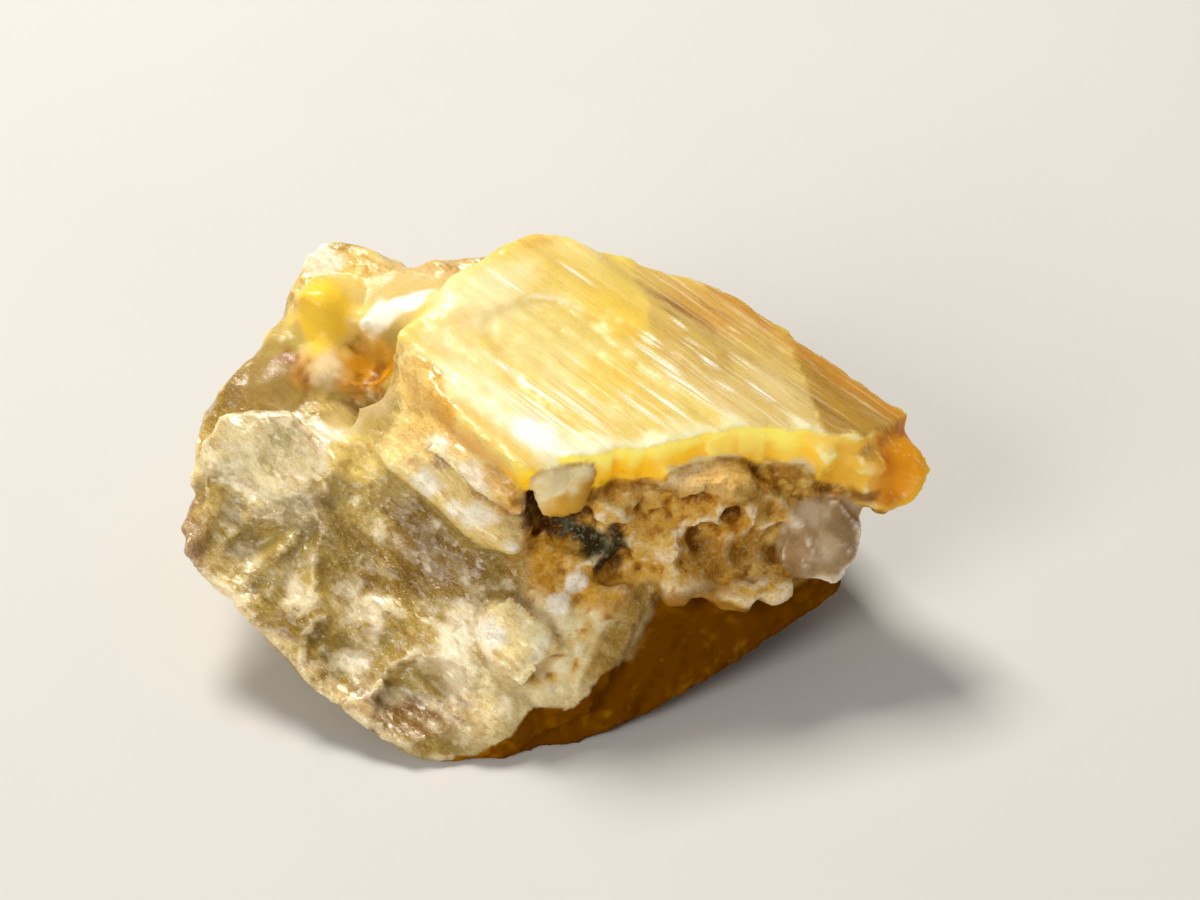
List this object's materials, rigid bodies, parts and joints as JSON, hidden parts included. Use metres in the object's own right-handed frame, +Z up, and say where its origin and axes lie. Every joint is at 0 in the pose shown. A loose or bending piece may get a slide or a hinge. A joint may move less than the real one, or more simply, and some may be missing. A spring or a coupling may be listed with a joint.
{
  "type": "richterite crystal",
  "caption": "Natural specimen of a golden, striated amphibole crystal grown over a smoky cleaved host with an iron-stained crust of grains.",
  "frame": {"origin": "middle of the footprint, on the surface that the specimen rests on", "axes": "+X along the specimen's length towards the golden crystal's free end, +Y towards its back, +Z up"},
  "size_m": [0.0276, 0.0186, 0.0117],
  "materials": {
    "honey_amphibole": "translucent honey-yellow crystal, satin and finely striated on top, glassy and chipped on the smoky front face, dull and iron-stained in the crust"
  },
  "bodies": {
    "root": {"richterite_crystal": "honey_amphibole"}
  },
  "joints": []
}
